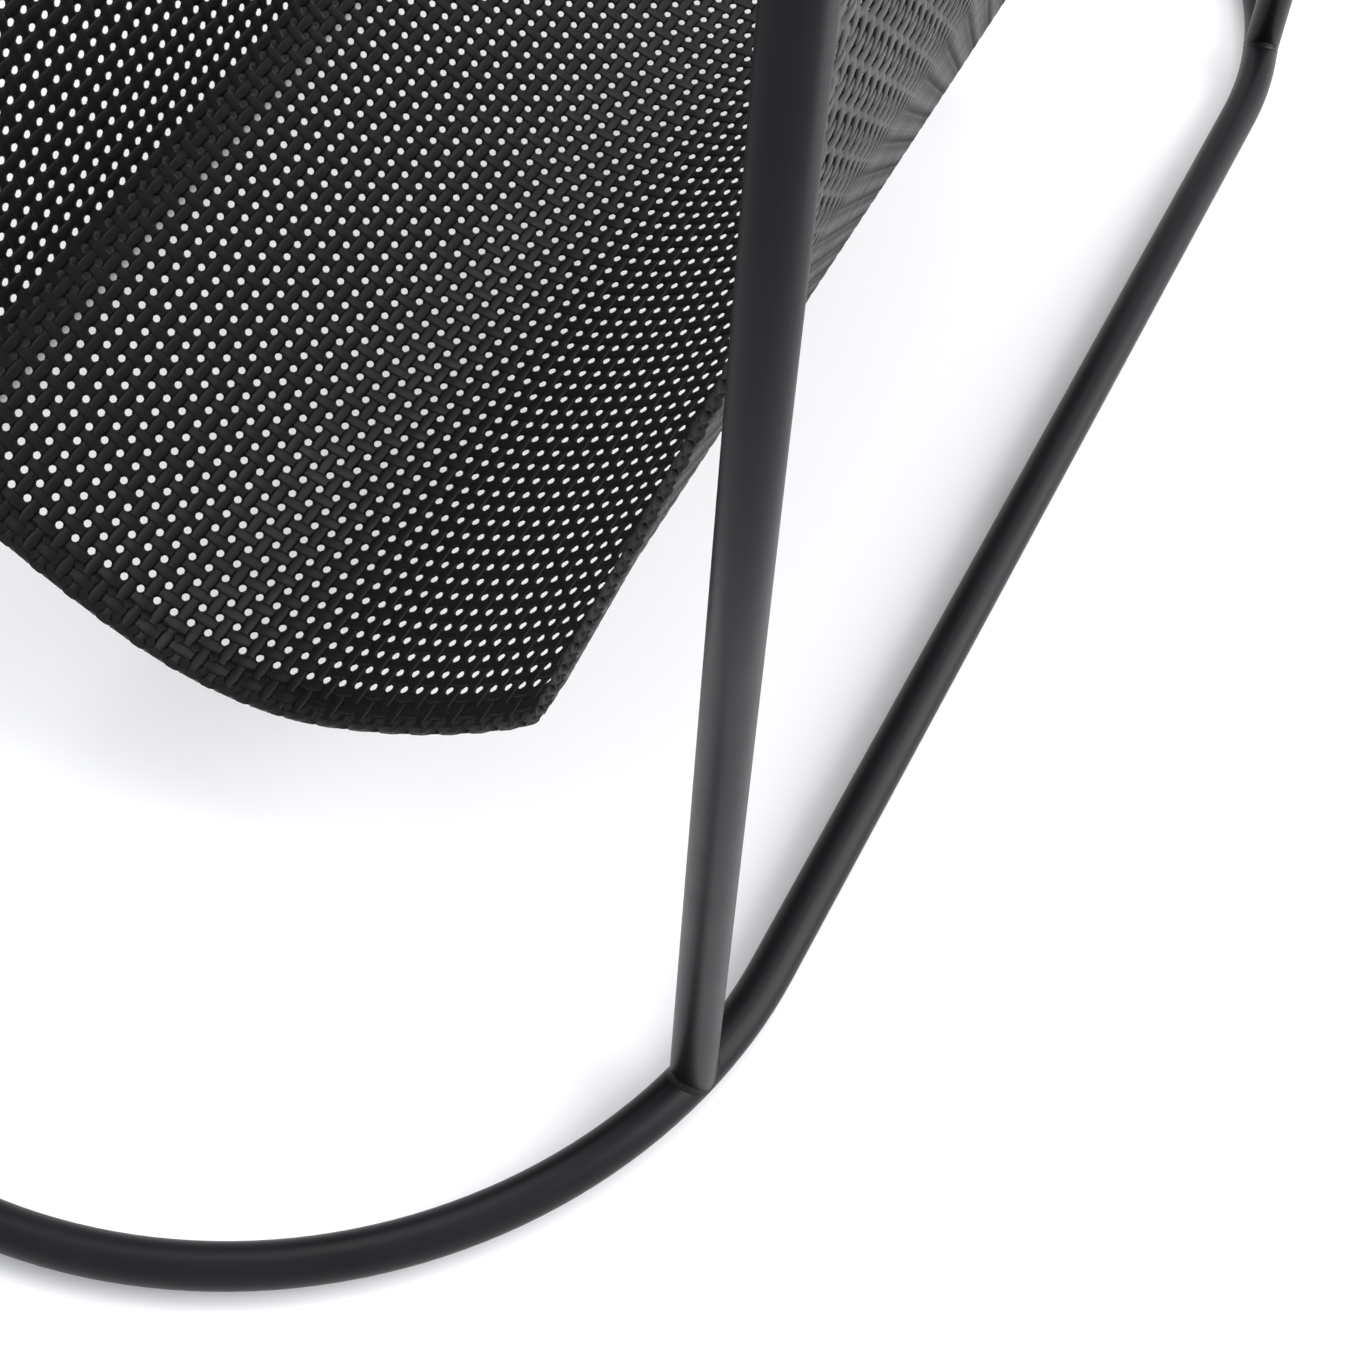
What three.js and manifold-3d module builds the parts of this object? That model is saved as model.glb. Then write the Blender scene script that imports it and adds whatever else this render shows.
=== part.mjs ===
// Magazine holder: a welded frame of round steel rod that carries a trough of open woven mesh.
// Millimetres, +Z up. The frame stands on the plane z = 0, centred on the origin.
// X runs across the trough and Y along it.

import * as THREE from "three";
import { mergeVertices } from "three/addons/utils/BufferGeometryUtils.js";
import Module from "manifold-3d";

const wasm = await Module();
wasm.setup();

// ---- driving dimensions ----
const ROD_RADIUS = 4;
const RING_HALF_WIDTH = 102; // rod axis to centre line, also the radius of the round ends
const RING_HALF_STRAIGHT = 126; // half of each straight long side
const RAIL_HEIGHT = 306; // rod axis of the top ring above the floor
const UPRIGHT_PAST_STRAIGHT = 25.2; // how far into the round end each upright stands
const GAP = 0.3; // clearance where two pieces touch

const GLIDE_FOOT = 1.5; // foot of a floor glide below the rod
const GLIDE_CLEARANCE = 0.5; // leaves room for the curve of the round ends
const GLIDE_LENGTH = 10;
const GLIDE_HALF_WIDTH = 3.1; // a little narrower than the rod, so it hardly shows from above

const CLOTH = 1.3; // thickness of the woven mesh over its crowns
const TROUGH_LENGTH = 276;
const TROUGH_LOWEST = 36; // middle of the cloth at the bottom of the trough
// Arcs up one side of the trough from its middle: radius, and slope at the end in degrees.
const BOTTOM_ARCS = [
  [48, 25],
  [142, 43.5],
  [12, 73.3], // the crease along the foot of the wall
];
const WALL_LENGTH = 86; // flat lower part of the wall
const WALL_BEND = [170, 84.7]; // radius, and slope at the end in degrees
const HEM_WIDTH = 9;
const SLEEVE_CLEARANCE = 0.8; // loose fit, and room for the start of the round ends
const SLEEVE_TAB = 22; // rail axis down to the seam of the sleeve

const ROD_SIDES = 16;
const END_STEPS = 24; // steps round one semicircular end
const TROUGH_STEPS = 6; // steps of each arc of the trough
const ARC_STEPS = 10;

// ---- derived places ----
const BASE_AXIS = GLIDE_FOOT + ROD_RADIUS;
const UPRIGHT_Y = RING_HALF_STRAIGHT + UPRIGHT_PAST_STRAIGHT;
const UPRIGHT_X = Math.sqrt(RING_HALF_WIDTH ** 2 - UPRIGHT_PAST_STRAIGHT ** 2);
const SEAM_Z = RAIL_HEIGHT - SLEEVE_TAB;

// ---- colours ----
const POWDER_COAT = { color: 0x1e1e22, roughness: 0.5, metalness: 0.1 };
const VINYL_MESH = { color: 0x17171b, roughness: 0.62, metalness: 0 };
const NYLON = { color: 0x121214, roughness: 0.55, metalness: 0 };

const group = new THREE.Group();

function addPiece(name, geometry, finish) {
  const mesh = new THREE.Mesh(geometry, new THREE.MeshStandardMaterial(finish));
  mesh.name = name;
  group.add(mesh);
  return mesh;
}

// ---- cutting with manifold-3d ----
function toSolid(geometry) {
  const bare = geometry.clone();
  bare.deleteAttribute("normal");
  bare.deleteAttribute("uv");
  const merged = mergeVertices(bare, 1e-4);
  return new wasm.Manifold(
    new wasm.Mesh({
      numProp: 3,
      vertProperties: merged.attributes.position.array,
      triVerts: new Uint32Array(merged.index.array),
    }),
  );
}

function toGeometry(solid) {
  const mesh = solid.getMesh();
  const geometry = new THREE.BufferGeometry();
  const positions = new THREE.BufferAttribute(mesh.vertProperties, 3);
  geometry.setAttribute("position", positions);
  geometry.setIndex(new THREE.BufferAttribute(mesh.triVerts, 1));
  geometry.computeVertexNormals();
  return geometry;
}

// ---- rings ----
// A flat loop of two straight sides and two semicircular ends, at one height.
// Its steps are even round the ends, and each straight side is one step.
class RingPath extends THREE.Curve {
  constructor(height) {
    super();
    this.height = height;
    this.steps = 2 * (END_STEPS + 1);
  }

  getPoint(t, target = new THREE.Vector3()) {
    const half = END_STEPS + 1;
    const station = (((t % 1) + 1) % 1) * this.steps;
    const side = station < half ? 1 : -1;
    const along = station - (station < half ? 0 : half);
    const turn = Math.min(along, END_STEPS) / END_STEPS;
    const slide = Math.max(along - END_STEPS, 0);
    const angle = Math.PI * turn;
    const x = RING_HALF_WIDTH * Math.cos(angle) * side;
    const arcY = RING_HALF_WIDTH * Math.sin(angle) + RING_HALF_STRAIGHT;
    const y = (arcY - 2 * RING_HALF_STRAIGHT * slide) * side;
    return target.set(x, y, this.height);
  }

  // The steps above replace even spacing along the curve.
  getPointAt(u, target) {
    return this.getPoint(u, target);
  }

  getTangentAt(u, target = new THREE.Vector3()) {
    const nudge = 1e-4 / this.steps;
    const ahead = this.getPoint(u + nudge);
    const behind = this.getPoint(u - nudge);
    return target.copy(ahead).sub(behind).normalize();
  }
}

function ringGeometry(height, radius) {
  const path = new RingPath(height);
  return new THREE.TubeGeometry(path, path.steps, radius, ROD_SIDES, true);
}

addPiece("base_ring", ringGeometry(BASE_AXIS, ROD_RADIUS), POWDER_COAT);
addPiece("top_ring", ringGeometry(RAIL_HEIGHT, ROD_RADIUS), POWDER_COAT);

// ---- uprights, each coped to sit on the base ring and under the top ring ----
const lowerCope = toSolid(ringGeometry(BASE_AXIS, ROD_RADIUS + GAP));
const upperCope = toSolid(ringGeometry(RAIL_HEIGHT, ROD_RADIUS + GAP));

function uprightGeometry(x, y) {
  const length = RAIL_HEIGHT - BASE_AXIS;
  const rod = new THREE.CylinderGeometry(ROD_RADIUS, ROD_RADIUS, length, ROD_SIDES);
  rod.rotateX(Math.PI / 2);
  rod.translate(x, y, BASE_AXIS + length / 2);
  return toGeometry(toSolid(rod).subtract(lowerCope).subtract(upperCope));
}

for (const [end, endSign] of [["front", -1], ["back", 1]]) {
  for (const [side, sideSign] of [["left", -1], ["right", 1]]) {
    const geometry = uprightGeometry(sideSign * UPRIGHT_X, endSign * UPRIGHT_Y);
    addPiece(`upright_${end}_${side}`, geometry, POWDER_COAT);
  }
}

// ---- profiles in the XZ plane, pushed along Y ----
function pushAlongY(shape, fromY, toY) {
  const options = { depth: toY - fromY, bevelEnabled: false, curveSegments: ARC_STEPS };
  const geometry = new THREE.ExtrudeGeometry(shape, options);
  geometry.rotateX(Math.PI / 2);
  geometry.translate(0, toY, 0);
  return geometry;
}

// One side of the trough's middle line, from the lowest point up to the seam.
// Each point also has the slope of the line there.
function troughSide() {
  const side = [{ x: 0, z: TROUGH_LOWEST, a: 0 }];
  const bend = (radius, degrees) => {
    const { x, z, a } = side.at(-1);
    const turn = THREE.MathUtils.degToRad(degrees) - a;
    for (let i = 1; i <= TROUGH_STEPS; i++) {
      const b = a + (turn * i) / TROUGH_STEPS;
      const run = radius * (Math.sin(b) - Math.sin(a));
      const rise = radius * (Math.cos(a) - Math.cos(b));
      side.push({ x: x + run, z: z + rise, a: b });
    }
  };
  BOTTOM_ARCS.forEach(([radius, degrees]) => bend(radius, degrees));
  const { x, z, a } = side.at(-1);
  side.push({ x: x + WALL_LENGTH * Math.cos(a), z: z + WALL_LENGTH * Math.sin(a), a });
  bend(...WALL_BEND);
  side.push({ x: RING_HALF_WIDTH, z: SEAM_Z - GAP, a: side.at(-1).a });
  return side;
}

// The whole middle line, from the left seam down round the bottom to the right seam.
function troughLine() {
  const side = troughSide();
  const mirrored = side.slice(1).reverse();
  const left = mirrored.map(({ x, z, a }) => ({ x: -x, z, a: -a }));
  return [...left, ...side];
}

// A band of cloth on the trough's line, from inward to outward of its middle.
function troughBand(inward, outward) {
  const line = troughLine();
  const offset = (by) =>
    line.map(({ x, z, a }) => new THREE.Vector2(x + by * Math.sin(a), z - by * Math.cos(a)));
  return new THREE.Shape([...offset(outward), ...offset(-inward).reverse()]);
}

const endY = TROUGH_LENGTH / 2;
const clothEndY = endY - HEM_WIDTH - GAP;
const clothBand = troughBand(CLOTH / 2, CLOTH / 2);
addPiece("sling", pushAlongY(clothBand, -clothEndY, clothEndY), VINYL_MESH);

// The hems are folded to the outside, so they are two layers thick there.
const hemBand = troughBand(CLOTH / 2, (3 * CLOTH) / 2);
addPiece("hem_front", pushAlongY(hemBand, -endY, HEM_WIDTH - endY), VINYL_MESH);
addPiece("hem_back", pushAlongY(hemBand, endY - HEM_WIDTH, endY), VINYL_MESH);

// ---- sleeves: the cloth goes over the rail and is sewn to itself below it ----
function sleeveShape(railX) {
  const inner = ROD_RADIUS + SLEEVE_CLEARANCE;
  const outer = inner + CLOTH;
  const join = Math.asin(CLOTH / outer);
  const shape = new THREE.Shape();
  shape.moveTo(railX - CLOTH, SEAM_Z);
  shape.lineTo(railX + CLOTH, SEAM_Z);
  shape.absarc(railX, RAIL_HEIGHT, outer, join - Math.PI / 2, 1.5 * Math.PI - join, false);
  shape.closePath();
  const bore = new THREE.Path();
  bore.absarc(railX, RAIL_HEIGHT, inner, 0, 2 * Math.PI, true);
  shape.holes.push(bore);
  return shape;
}

for (const [side, sideSign] of [["left", -1], ["right", 1]]) {
  const shape = sleeveShape(sideSign * RING_HALF_WIDTH);
  addPiece(`sleeve_${side}`, pushAlongY(shape, -endY, endY), VINYL_MESH);
}

// ---- floor glides: pads under the rod, with a hollow top that follows it ----
function glideShape() {
  const hollow = ROD_RADIUS + GLIDE_CLEARANCE;
  const reach = Math.asin(GLIDE_HALF_WIDTH / hollow);
  const shape = new THREE.Shape();
  shape.moveTo(-GLIDE_HALF_WIDTH, -BASE_AXIS);
  shape.lineTo(GLIDE_HALF_WIDTH, -BASE_AXIS);
  shape.absarc(0, 0, hollow, reach - Math.PI / 2, -reach - Math.PI / 2, true);
  shape.closePath();
  return shape;
}

function addGlide(name, x, y, turned) {
  const geometry = pushAlongY(glideShape(), -GLIDE_LENGTH / 2, GLIDE_LENGTH / 2);
  const glide = addPiece(name, geometry, NYLON);
  glide.rotation.z = turned ? Math.PI / 2 : 0;
  glide.position.set(x, y, BASE_AXIS);
}

const ringEndY = RING_HALF_STRAIGHT + RING_HALF_WIDTH;
addGlide("glide_left", -RING_HALF_WIDTH, 0, false);
addGlide("glide_right", RING_HALF_WIDTH, 0, false);
addGlide("glide_front", 0, -ringEndY, true);
addGlide("glide_back", 0, ringEndY, true);

export default group;
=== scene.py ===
"""Free-standing magazine holder: a welded frame of round rod that carries a trough of woven vinyl mesh."""

import math

import bpy
from bpy.props import FloatProperty, FloatVectorProperty, IntProperty, PointerProperty
from mathutils import Matrix, Vector


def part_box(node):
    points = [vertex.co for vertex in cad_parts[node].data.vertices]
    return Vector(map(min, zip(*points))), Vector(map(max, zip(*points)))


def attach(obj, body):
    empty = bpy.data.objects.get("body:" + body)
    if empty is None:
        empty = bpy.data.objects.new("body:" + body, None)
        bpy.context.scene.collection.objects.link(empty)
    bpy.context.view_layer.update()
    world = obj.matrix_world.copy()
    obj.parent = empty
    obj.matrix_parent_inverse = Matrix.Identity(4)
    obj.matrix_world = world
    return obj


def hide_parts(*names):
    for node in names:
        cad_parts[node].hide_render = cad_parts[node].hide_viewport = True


bl_info = {
    "name": "Magazine Holder",
    "version": (1, 0, 0),
    "blender": (4, 5, 0),
    "location": "View3D > Sidebar > Holder",
    "description": "Makes a magazine holder of welded round rod with a trough of woven mesh",
    "category": "Add Mesh",
}

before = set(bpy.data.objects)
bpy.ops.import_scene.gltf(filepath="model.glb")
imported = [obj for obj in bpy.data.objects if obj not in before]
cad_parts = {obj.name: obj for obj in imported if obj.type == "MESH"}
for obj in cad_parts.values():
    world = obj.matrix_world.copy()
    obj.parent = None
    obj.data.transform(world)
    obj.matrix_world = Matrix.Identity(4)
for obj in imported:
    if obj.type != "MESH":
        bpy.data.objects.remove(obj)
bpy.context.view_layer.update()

MM = 0.001
SIDES = {"left": -1, "right": 1}
ENDS = {"front": -1, "back": 1}

# ---- places that the frame gives ----
ring_low, ring_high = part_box("base_ring")
rail_low, rail_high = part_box("top_ring")
post_low, post_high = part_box("upright_front_right")
sling_low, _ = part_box("sling")
sleeve_low, sleeve_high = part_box("sleeve_right")
glide_low, glide_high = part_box("glide_right")
ROD_RADIUS = (ring_high.z - ring_low.z) / 2
BASE_Z = (ring_high.z + ring_low.z) / 2
RAIL_Z = (rail_high.z + rail_low.z) / 2
RING_HALF_WIDTH = ring_high.x - ROD_RADIUS
RING_HALF_STRAIGHT = ring_high.y - ROD_RADIUS - RING_HALF_WIDTH
POST_X = (post_low.x + post_high.x) / 2
POST_Y = -(post_low.y + post_high.y) / 2
SLEEVE_SLACK = 0.8 * MM
CLOTH = sleeve_high.x - RING_HALF_WIDTH - ROD_RADIUS - SLEEVE_SLACK
TROUGH_HALF = sleeve_high.y
SEAM_Z = sleeve_low.z

# ---- small sizes and counts ----
WELD_STEPS = 72
WELD_PROUD = 0.02 * MM  # how far the edges of a weld stand out of the rods
WELD_ROOT = 0.8 * MM  # how deep a weld reaches into the rods
WELD_LEAST = 0.05  # smallest share of a weld's leg, where the ring falls away from the upright
STRAIGHT_STEPS = 40
BEND_STEPS = 30
SLEEVE_STEPS = 48
NECK_EASE = 18 * MM  # height over which the wall moves inwards to make room for the sleeve's outer layer
SEAM_EDGE = 1 * MM  # how far the outer layer's edge hangs below the sleeve
YARN_SIDES = 6
YARN_STEPS = 4  # steps of a yarn from one crossing to the next
FOLD_FADE = 12 * MM  # length along a hem over which its fold fades out
SLEEVE_YARNS = 21  # yarns on each side that the folds don't take in
SEAL_PROUD = 0.1 * MM  # how far a seal stands past the middles of the two layers
SEAL_TIP = 0.3 * MM  # how far a seal reaches past the start of the fold
STITCH_ARCH = 0.9 * MM
STITCH_SINK = 0.75 * MM  # how deep the ends of a stitch go into the cloth
STITCH_HEIGHT = 3.2 * MM  # row of stitches above the lower end of the sleeve
GLIDE_FIT = 0.05 * MM  # room between a glide's hollow and the rod
GLIDE_STEPS = 6  # steps of the hollow on each side of its middle
FLOOR_HALF = 6.0


# ---- small tools ----
def linear(hex_colour):
    """An sRGB hex colour as linear RGB."""
    parts = [int(hex_colour[i : i + 2], 16) / 255 for i in (1, 3, 5)]
    return [p / 12.92 if p <= 0.04045 else ((p + 0.055) / 1.055) ** 2.4 for p in parts]


def add(tree, kind, *inputs, named=None, **settings):
    """Adds a node, sets it up, and fills or links its usable inputs in order or by name. It gives the node's
    first output."""
    made = tree.nodes.new(kind)
    for name, value in settings.items():
        setattr(made, name, value)
    usable = [socket for socket in made.inputs if socket.enabled]
    given = list(zip(usable, inputs))
    given += [(next(s for s in usable if s.name == name), value) for name, value in (named or {}).items()]
    for socket, value in given:
        if isinstance(value, bpy.types.NodeSocket):
            tree.links.new(value, socket)
        elif value is not None:
            socket.default_value = value
    return next(socket for socket in made.outputs if socket.enabled)


def new_piece(name, points, faces, edges=()):
    """A mesh piece from its points, with smooth shading."""
    mesh = bpy.data.meshes.new(name)
    mesh.from_pydata([tuple(p) for p in points], list(edges), faces)
    for face in mesh.polygons:
        face.use_smooth = True
    piece = bpy.data.objects.new(name, mesh)
    bpy.context.scene.collection.objects.link(piece)
    return piece


def face_outwards(piece):
    """Turns the faces of a closed piece outwards."""
    bpy.ops.object.select_all(action="DESELECT")
    piece.select_set(True)
    bpy.context.view_layer.objects.active = piece
    bpy.ops.object.mode_set(mode="EDIT")
    bpy.ops.mesh.select_all(action="SELECT")
    bpy.ops.mesh.normals_make_consistent(inside=False)
    bpy.ops.object.mode_set(mode="OBJECT")


def apply_modifiers(piece):
    """Replaces a piece's mesh by what its modifiers make of it, and removes them."""
    evaluated = piece.evaluated_get(bpy.context.evaluated_depsgraph_get())
    made = bpy.data.meshes.new_from_object(evaluated)
    made.name = piece.name
    old = piece.data
    piece.modifiers.clear()
    piece.data = made
    bpy.data.meshes.remove(old)


def follow_tree(piece, tree, **values):
    """Runs a node tree on a piece with these inputs, and keeps the result as its plain mesh."""
    modifier = piece.modifiers.new(tree.name, "NODES")
    modifier.node_group = tree
    for item in tree.interface.items_tree:
        key = item.name.lower().replace(" ", "_")
        if item.item_type == "SOCKET" and item.in_out == "INPUT" and key in values:
            modifier[item.identifier] = values[key]
    apply_modifiers(piece)


def new_tree(name, sockets):
    """An empty geometry tree with a Geometry input and output and these inputs: name, kind and default."""
    tree = bpy.data.node_groups.new(name, "GeometryNodeTree")
    tree.is_modifier = True
    tree.interface.new_socket("Geometry", in_out="INPUT", socket_type="NodeSocketGeometry")
    for label, kind, default in sockets:
        socket = tree.interface.new_socket(label, in_out="INPUT", socket_type="NodeSocket" + kind)
        if default is not None:
            socket.default_value = default
    tree.interface.new_socket("Geometry", in_out="OUTPUT", socket_type="NodeSocketGeometry")
    return tree, tree.nodes.new("NodeGroupInput").outputs


def finish_piece(piece, material, slot, *nodes):
    """Gives a piece its material, lets it ride on the frame, and hides the CAD nodes it stands for."""
    piece.data.materials.clear()
    piece.data.materials.append(material)
    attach(piece, "root")
    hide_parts(*nodes)
    return piece


def skin(rings, closed):
    """The faces over rings of points of the same count, with flat ends unless the row of rings is closed."""
    count, rows = len(rings[0]), len(rings)
    faces = []
    for i in range(rows if closed else rows - 1):
        a, b = i * count, (i + 1) % rows * count
        for j in range(count):
            k = (j + 1) % count
            faces.append((a + j, a + k, b + k, b + j))
    if not closed:
        faces.append(tuple(reversed(range(count))))
        faces.append(tuple((rows - 1) * count + j for j in range(count)))
    return [p for ring in rings for p in ring], faces


# ---- materials ----
def new_material(name):
    material = bpy.data.materials.new(name)
    material.use_nodes = True
    return material, material.node_tree, material.node_tree.nodes["Principled BSDF"]


def powder_coat_satin(settings):
    """Satin black powder coat baked on steel rod. It flows out almost smooth: a faint orange peel of about
    1.5 mm, and slow changes of gloss, so that highlights are soft but keep their shape."""
    material, tree, coat = new_material("powder_coat_satin")
    coat.inputs["Specular IOR Level"].default_value = 0.15
    place = add(tree, "ShaderNodeTexCoord").node.outputs["Object"]
    peel = add(tree, "ShaderNodeTexNoise", place, 700.0, 1.0, 0.4)
    dust = add(tree, "ShaderNodeTexNoise", place, 4200.0, 1.0, 0.5)
    gloss = add(tree, "ShaderNodeTexNoise", place, 45.0, 3.0, 0.6)
    rough = add(tree, "ShaderNodeMapRange", gloss, 0.3, 0.7, 0.36, 0.44)
    relief = add(tree, "ShaderNodeMath", dust, 0.25, peel, operation="MULTIPLY_ADD")
    bump = add(tree, "ShaderNodeBump", named={"Strength": 0.12, "Distance": 0.02 * MM, "Height": relief})
    shade = add(tree, "ShaderNodeMapRange", gloss, 0.3, 0.7, 0.85, 1.15)
    colour = add(tree, "ShaderNodeVectorMath", (*settings.coat_colour,), shade, operation="SCALE")
    tree.links.new(colour, coat.inputs["Base Color"])
    tree.links.new(rough, coat.inputs["Roughness"])
    tree.links.new(bump, coat.inputs["Normal"])
    return material


def vinyl_coated_yarn(settings):
    """Polyester yarn dipped in black vinyl, woven and heat-set, so that the coats melt together where yarns
    cross. The coat is satin and slightly lumpy, and its gloss changes from yarn to yarn."""
    material, tree, coat = new_material("vinyl_coated_yarn")
    coat.inputs["Specular IOR Level"].default_value = 0.21
    place = add(tree, "ShaderNodeTexCoord").node.outputs["Object"]
    lumps = add(tree, "ShaderNodeTexNoise", place, 1100.0, 2.0, 0.5)
    slow = add(tree, "ShaderNodeTexNoise", place, 90.0, 2.0, 0.5)
    rough = add(tree, "ShaderNodeMapRange", slow, 0.3, 0.7, 0.40, 0.52)
    shade = add(tree, "ShaderNodeMapRange", lumps, 0.3, 0.7, 0.8, 1.2)
    colour = add(tree, "ShaderNodeVectorMath", (*settings.yarn_colour,), shade, operation="SCALE")
    bump = add(tree, "ShaderNodeBump", named={"Strength": 0.25, "Distance": 0.05 * MM, "Height": lumps})
    tree.links.new(colour, coat.inputs["Base Color"])
    tree.links.new(rough, coat.inputs["Roughness"])
    tree.links.new(bump, coat.inputs["Normal"])
    return material


def polyester_thread(settings):
    """Black bonded polyester sewing thread, twisted from three plies: duller than the vinyl, with fine
    slanting ridges. The ridges are drawn wider than a real ply, so that they show."""
    material, tree, fibre = new_material("polyester_thread")
    fibre.inputs["Base Color"].default_value = (*settings.thread_colour, 1)
    fibre.inputs["Sheen Weight"].default_value = 0.3
    place = add(tree, "ShaderNodeTexCoord").node.outputs["Object"]
    turned = add(tree, "ShaderNodeMapping", named={"Vector": place, "Rotation": (0.0, 0.6, 0.8)})
    plies = add(tree, "ShaderNodeTexWave", turned, 390.0, 1.0).node.outputs["Fac"]
    bump = add(tree, "ShaderNodeBump", named={"Strength": 0.5, "Distance": 0.08 * MM, "Height": plies})
    rough = add(tree, "ShaderNodeMapRange", plies, 0.0, 1.0, 0.6, 0.8)
    tree.links.new(rough, fibre.inputs["Roughness"])
    tree.links.new(bump, fibre.inputs["Normal"])
    return material


def moulded_nylon(settings):
    """Black nylon moulded in a spark-eroded tool: matt, with a fine even grain of about 0.4 mm."""
    material, tree, nylon = new_material("moulded_nylon")
    nylon.inputs["Base Color"].default_value = (*settings.glide_colour, 1)
    place = add(tree, "ShaderNodeTexCoord").node.outputs["Object"]
    grain = add(tree, "ShaderNodeTexNoise", place, 2500.0, 2.0, 0.6)
    rough = add(tree, "ShaderNodeMapRange", grain, 0.3, 0.7, 0.5, 0.65)
    bump = add(tree, "ShaderNodeBump", named={"Strength": 0.3, "Distance": 0.03 * MM, "Height": grain})
    tree.links.new(rough, nylon.inputs["Roughness"])
    tree.links.new(bump, nylon.inputs["Normal"])
    return material


def matt_white_paint(settings):
    """Matt white paint on a studio floor, with the slight unevenness that a roller leaves."""
    material, tree, paint = new_material("matt_white_paint")
    paint.inputs["Roughness"].default_value = 0.8
    place = add(tree, "ShaderNodeTexCoord").node.outputs["Object"]
    roller = add(tree, "ShaderNodeTexNoise", place, 3.0, 3.0, 0.5)
    shade = add(tree, "ShaderNodeMapRange", roller, 0.3, 0.7, 0.985, 1.0)
    colour = add(tree, "ShaderNodeVectorMath", (*settings.floor_colour,), shade, operation="SCALE")
    tree.links.new(colour, paint.inputs["Base Color"])
    return material


# ---- settings ----
class HolderFrameSettings(bpy.types.PropertyGroup):
    rod_radius: FloatProperty(
        name="Rod Radius", description="Radius of the round rod", default=ROD_RADIUS, unit="LENGTH"
    )
    rod_sides: IntProperty(name="Rod Sides", description="Facets round a rod", default=48, min=12)
    end_steps: IntProperty(name="End Steps", description="Steps round half a ring end", default=96, min=12)
    weld_leg: FloatProperty(
        name="Weld Leg", description="How far a weld reaches onto each rod", default=0.9 * MM, unit="LENGTH"
    )
    coat_colour: FloatVectorProperty(
        name="Powder Coat", description="Colour of the rods", subtype="COLOR", default=linear("#131316")
    )
    glide_colour: FloatVectorProperty(
        name="Glides", description="Colour of the floor glides", subtype="COLOR", default=linear("#141416")
    )
    glide_edge: FloatProperty(
        name="Glide Edge", description="Rounding of a glide's edges", default=0.4 * MM, unit="LENGTH"
    )


class HolderClothSettings(bpy.types.PropertyGroup):
    arc_radii: FloatVectorProperty(
        name="Arc Radii", description="Radii of the bottom, the flank, the crease and the bend in the wall",
        size=4, default=(48 * MM, 142 * MM, 12 * MM, 170 * MM), unit="LENGTH",
    )
    arc_slopes: FloatVectorProperty(
        name="Arc Slopes", description="Slopes at the ends of these four arcs", size=4,
        default=[math.radians(a) for a in (25, 43.5, 73.3, 84.7)], subtype="EULER",
    )
    wall_length: FloatProperty(
        name="Wall Length", description="Flat lower part of the wall", default=86 * MM, unit="LENGTH"
    )
    thickness: FloatProperty(
        name="Cloth Thickness", description="Thickness of the mesh over its crowns",
        default=CLOTH, unit="LENGTH",
    )
    sleeve_radius: FloatProperty(
        name="Sleeve Radius", description="Rail's middle to the middle of the cloth round it",
        default=ROD_RADIUS + SLEEVE_SLACK + CLOTH / 2, unit="LENGTH",
    )
    sleeve_neck: FloatProperty(
        name="Sleeve Neck", description="Rail's middle down to where the two layers meet",
        default=16 * MM, unit="LENGTH",
    )
    half_count: IntProperty(
        name="Half Count", description="Yarns that cross the trough, from its middle to its folded edge",
        default=37,
    )
    half_yarns: IntProperty(
        name="Half Yarns", description="Yarns along the trough, from its middle to the end of a sleeve",
        default=100,
    )
    hem_yarns: IntProperty(name="Hem Yarns", description="Crossing yarns in the folded back hem", default=2)
    waist: FloatProperty(
        name="Yarn Waist", description="Half width of a yarn between crossings",
        default=1.06 * MM, unit="LENGTH",
    )
    shoulder: FloatProperty(
        name="Yarn Shoulder", description="Half width of a yarn at a crossing",
        default=1.45 * MM, unit="LENGTH",
    )
    half_depth: FloatProperty(
        name="Yarn Half Depth", description="Half thickness of a yarn", default=0.28 * MM, unit="LENGTH"
    )
    crimp: FloatProperty(
        name="Crimp", description="How far a yarn swings from the middle of the cloth",
        default=0.14 * MM, unit="LENGTH",
    )
    yarn_colour: FloatVectorProperty(
        name="Yarn", description="Colour of the vinyl coat", subtype="COLOR", default=linear("#0B0B0C")
    )
    thread_colour: FloatVectorProperty(
        name="Thread", description="Colour of the sewing thread", subtype="COLOR", default=linear("#18181A")
    )
    stitch_length: FloatProperty(
        name="Stitch Length", description="Length of one stitch that shows", default=2.7 * MM, unit="LENGTH"
    )
    thread_radius: FloatProperty(
        name="Thread Radius", description="Radius of the sewing thread", default=0.3 * MM, unit="LENGTH"
    )


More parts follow.
